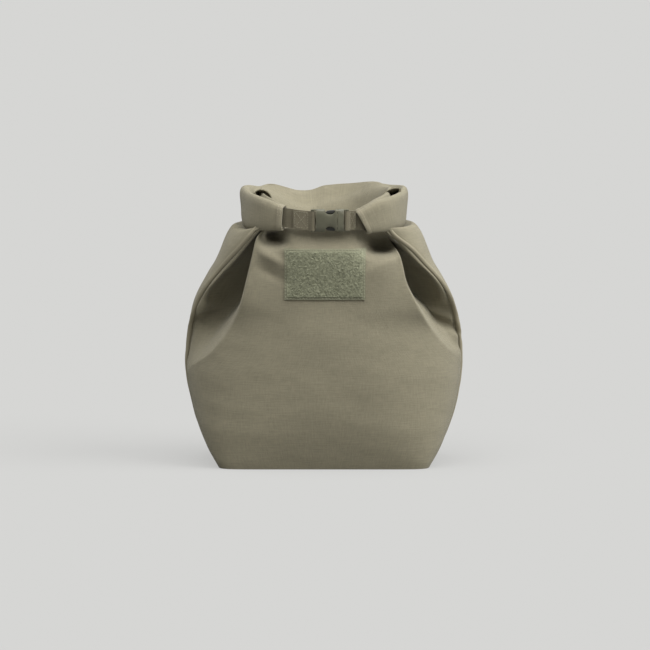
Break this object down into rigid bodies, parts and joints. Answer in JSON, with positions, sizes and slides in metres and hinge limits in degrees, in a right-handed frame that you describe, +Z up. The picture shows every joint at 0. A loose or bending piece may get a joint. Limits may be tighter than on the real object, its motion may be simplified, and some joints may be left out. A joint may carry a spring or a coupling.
{
  "type": "roll-top dry bag",
  "caption": "Roll-top dry bag, closed: a soft swollen body on a flat base, its collar rolled down and bent round into a C, clipped in front by a side-release buckle, with a loop patch below.",
  "frame": {"origin": "on the ground, under the middle of the base", "axes": "+X across the bag, +Y to the back (the buckle and patch face -Y), +Z up"},
  "size_m": [0.2794, 0.155, 0.2766],
  "materials": {
    "cloth": "matt coated plain weave, olive drab",
    "seam_cloth": "matt woven, slightly darker",
    "seam_tape": "thin welded film",
    "webbing": "coarse woven webbing",
    "buckle_plastic": "moulded, satin",
    "stiffener": "smooth strip",
    "patch_cloth": "woven backing",
    "patch_pile": "fuzzy loop pile"
  },
  "bodies": {
    "bag": {"base_panel": "cloth", "front_panel": "cloth", "back_panel": "cloth", "side_seam_left": "seam_cloth", "side_seam_right": "seam_cloth", "seam_tape_left": "seam_tape", "seam_tape_right": "seam_tape", "base_seam_tape": "seam_tape", "patch_backing": "patch_cloth", "patch_pile": "patch_pile"},
    "left_arm": {"roll_left": "cloth", "end_binding_left": "seam_cloth", "mouth_stiffener_left": "stiffener", "webbing_left": "webbing", "buckle_socket": "buckle_plastic"},
    "right_arm": {"roll_right": "cloth", "end_binding_right": "seam_cloth", "mouth_stiffener_right": "stiffener", "webbing_right": "webbing", "buckle_plug": "buckle_plastic"},
    "upper_prong": {"prong_upper": "buckle_plastic"},
    "lower_prong": {"prong_lower": "buckle_plastic"}
  },
  "joints": [
    {"name": "left_arm_spread", "type": "hinge", "parent": "bag", "child": "left_arm", "pos_m": [0, 0.07825, 0.235], "axis": [0, 0, -1], "range_deg": [0, 5], "deforming": ["prong_upper", "prong_lower"]},
    {"name": "right_arm_spread", "type": "hinge", "parent": "bag", "child": "right_arm", "pos_m": [0, 0.07825, 0.235], "axis": [0, 0, 1], "range_deg": [0, 5]},
    {"name": "upper_prong_press", "type": "hinge", "parent": "right_arm", "child": "upper_prong", "pos_m": [0.0153, -0.068, 0.2576], "axis": [0, -1, 0], "range_deg": [0, 13.5], "stiffness_Nm_per_rad": 0.15},
    {"name": "lower_prong_press", "type": "hinge", "parent": "right_arm", "child": "lower_prong", "pos_m": [0.0153, -0.068, 0.2418], "axis": [0, 1, 0], "range_deg": [0, 13.5], "stiffness_Nm_per_rad": 0.15}
  ],
  "couplings": [
    {"joint": "right_arm_spread", "follows": "left_arm_spread", "ratio": 1}
  ]
}
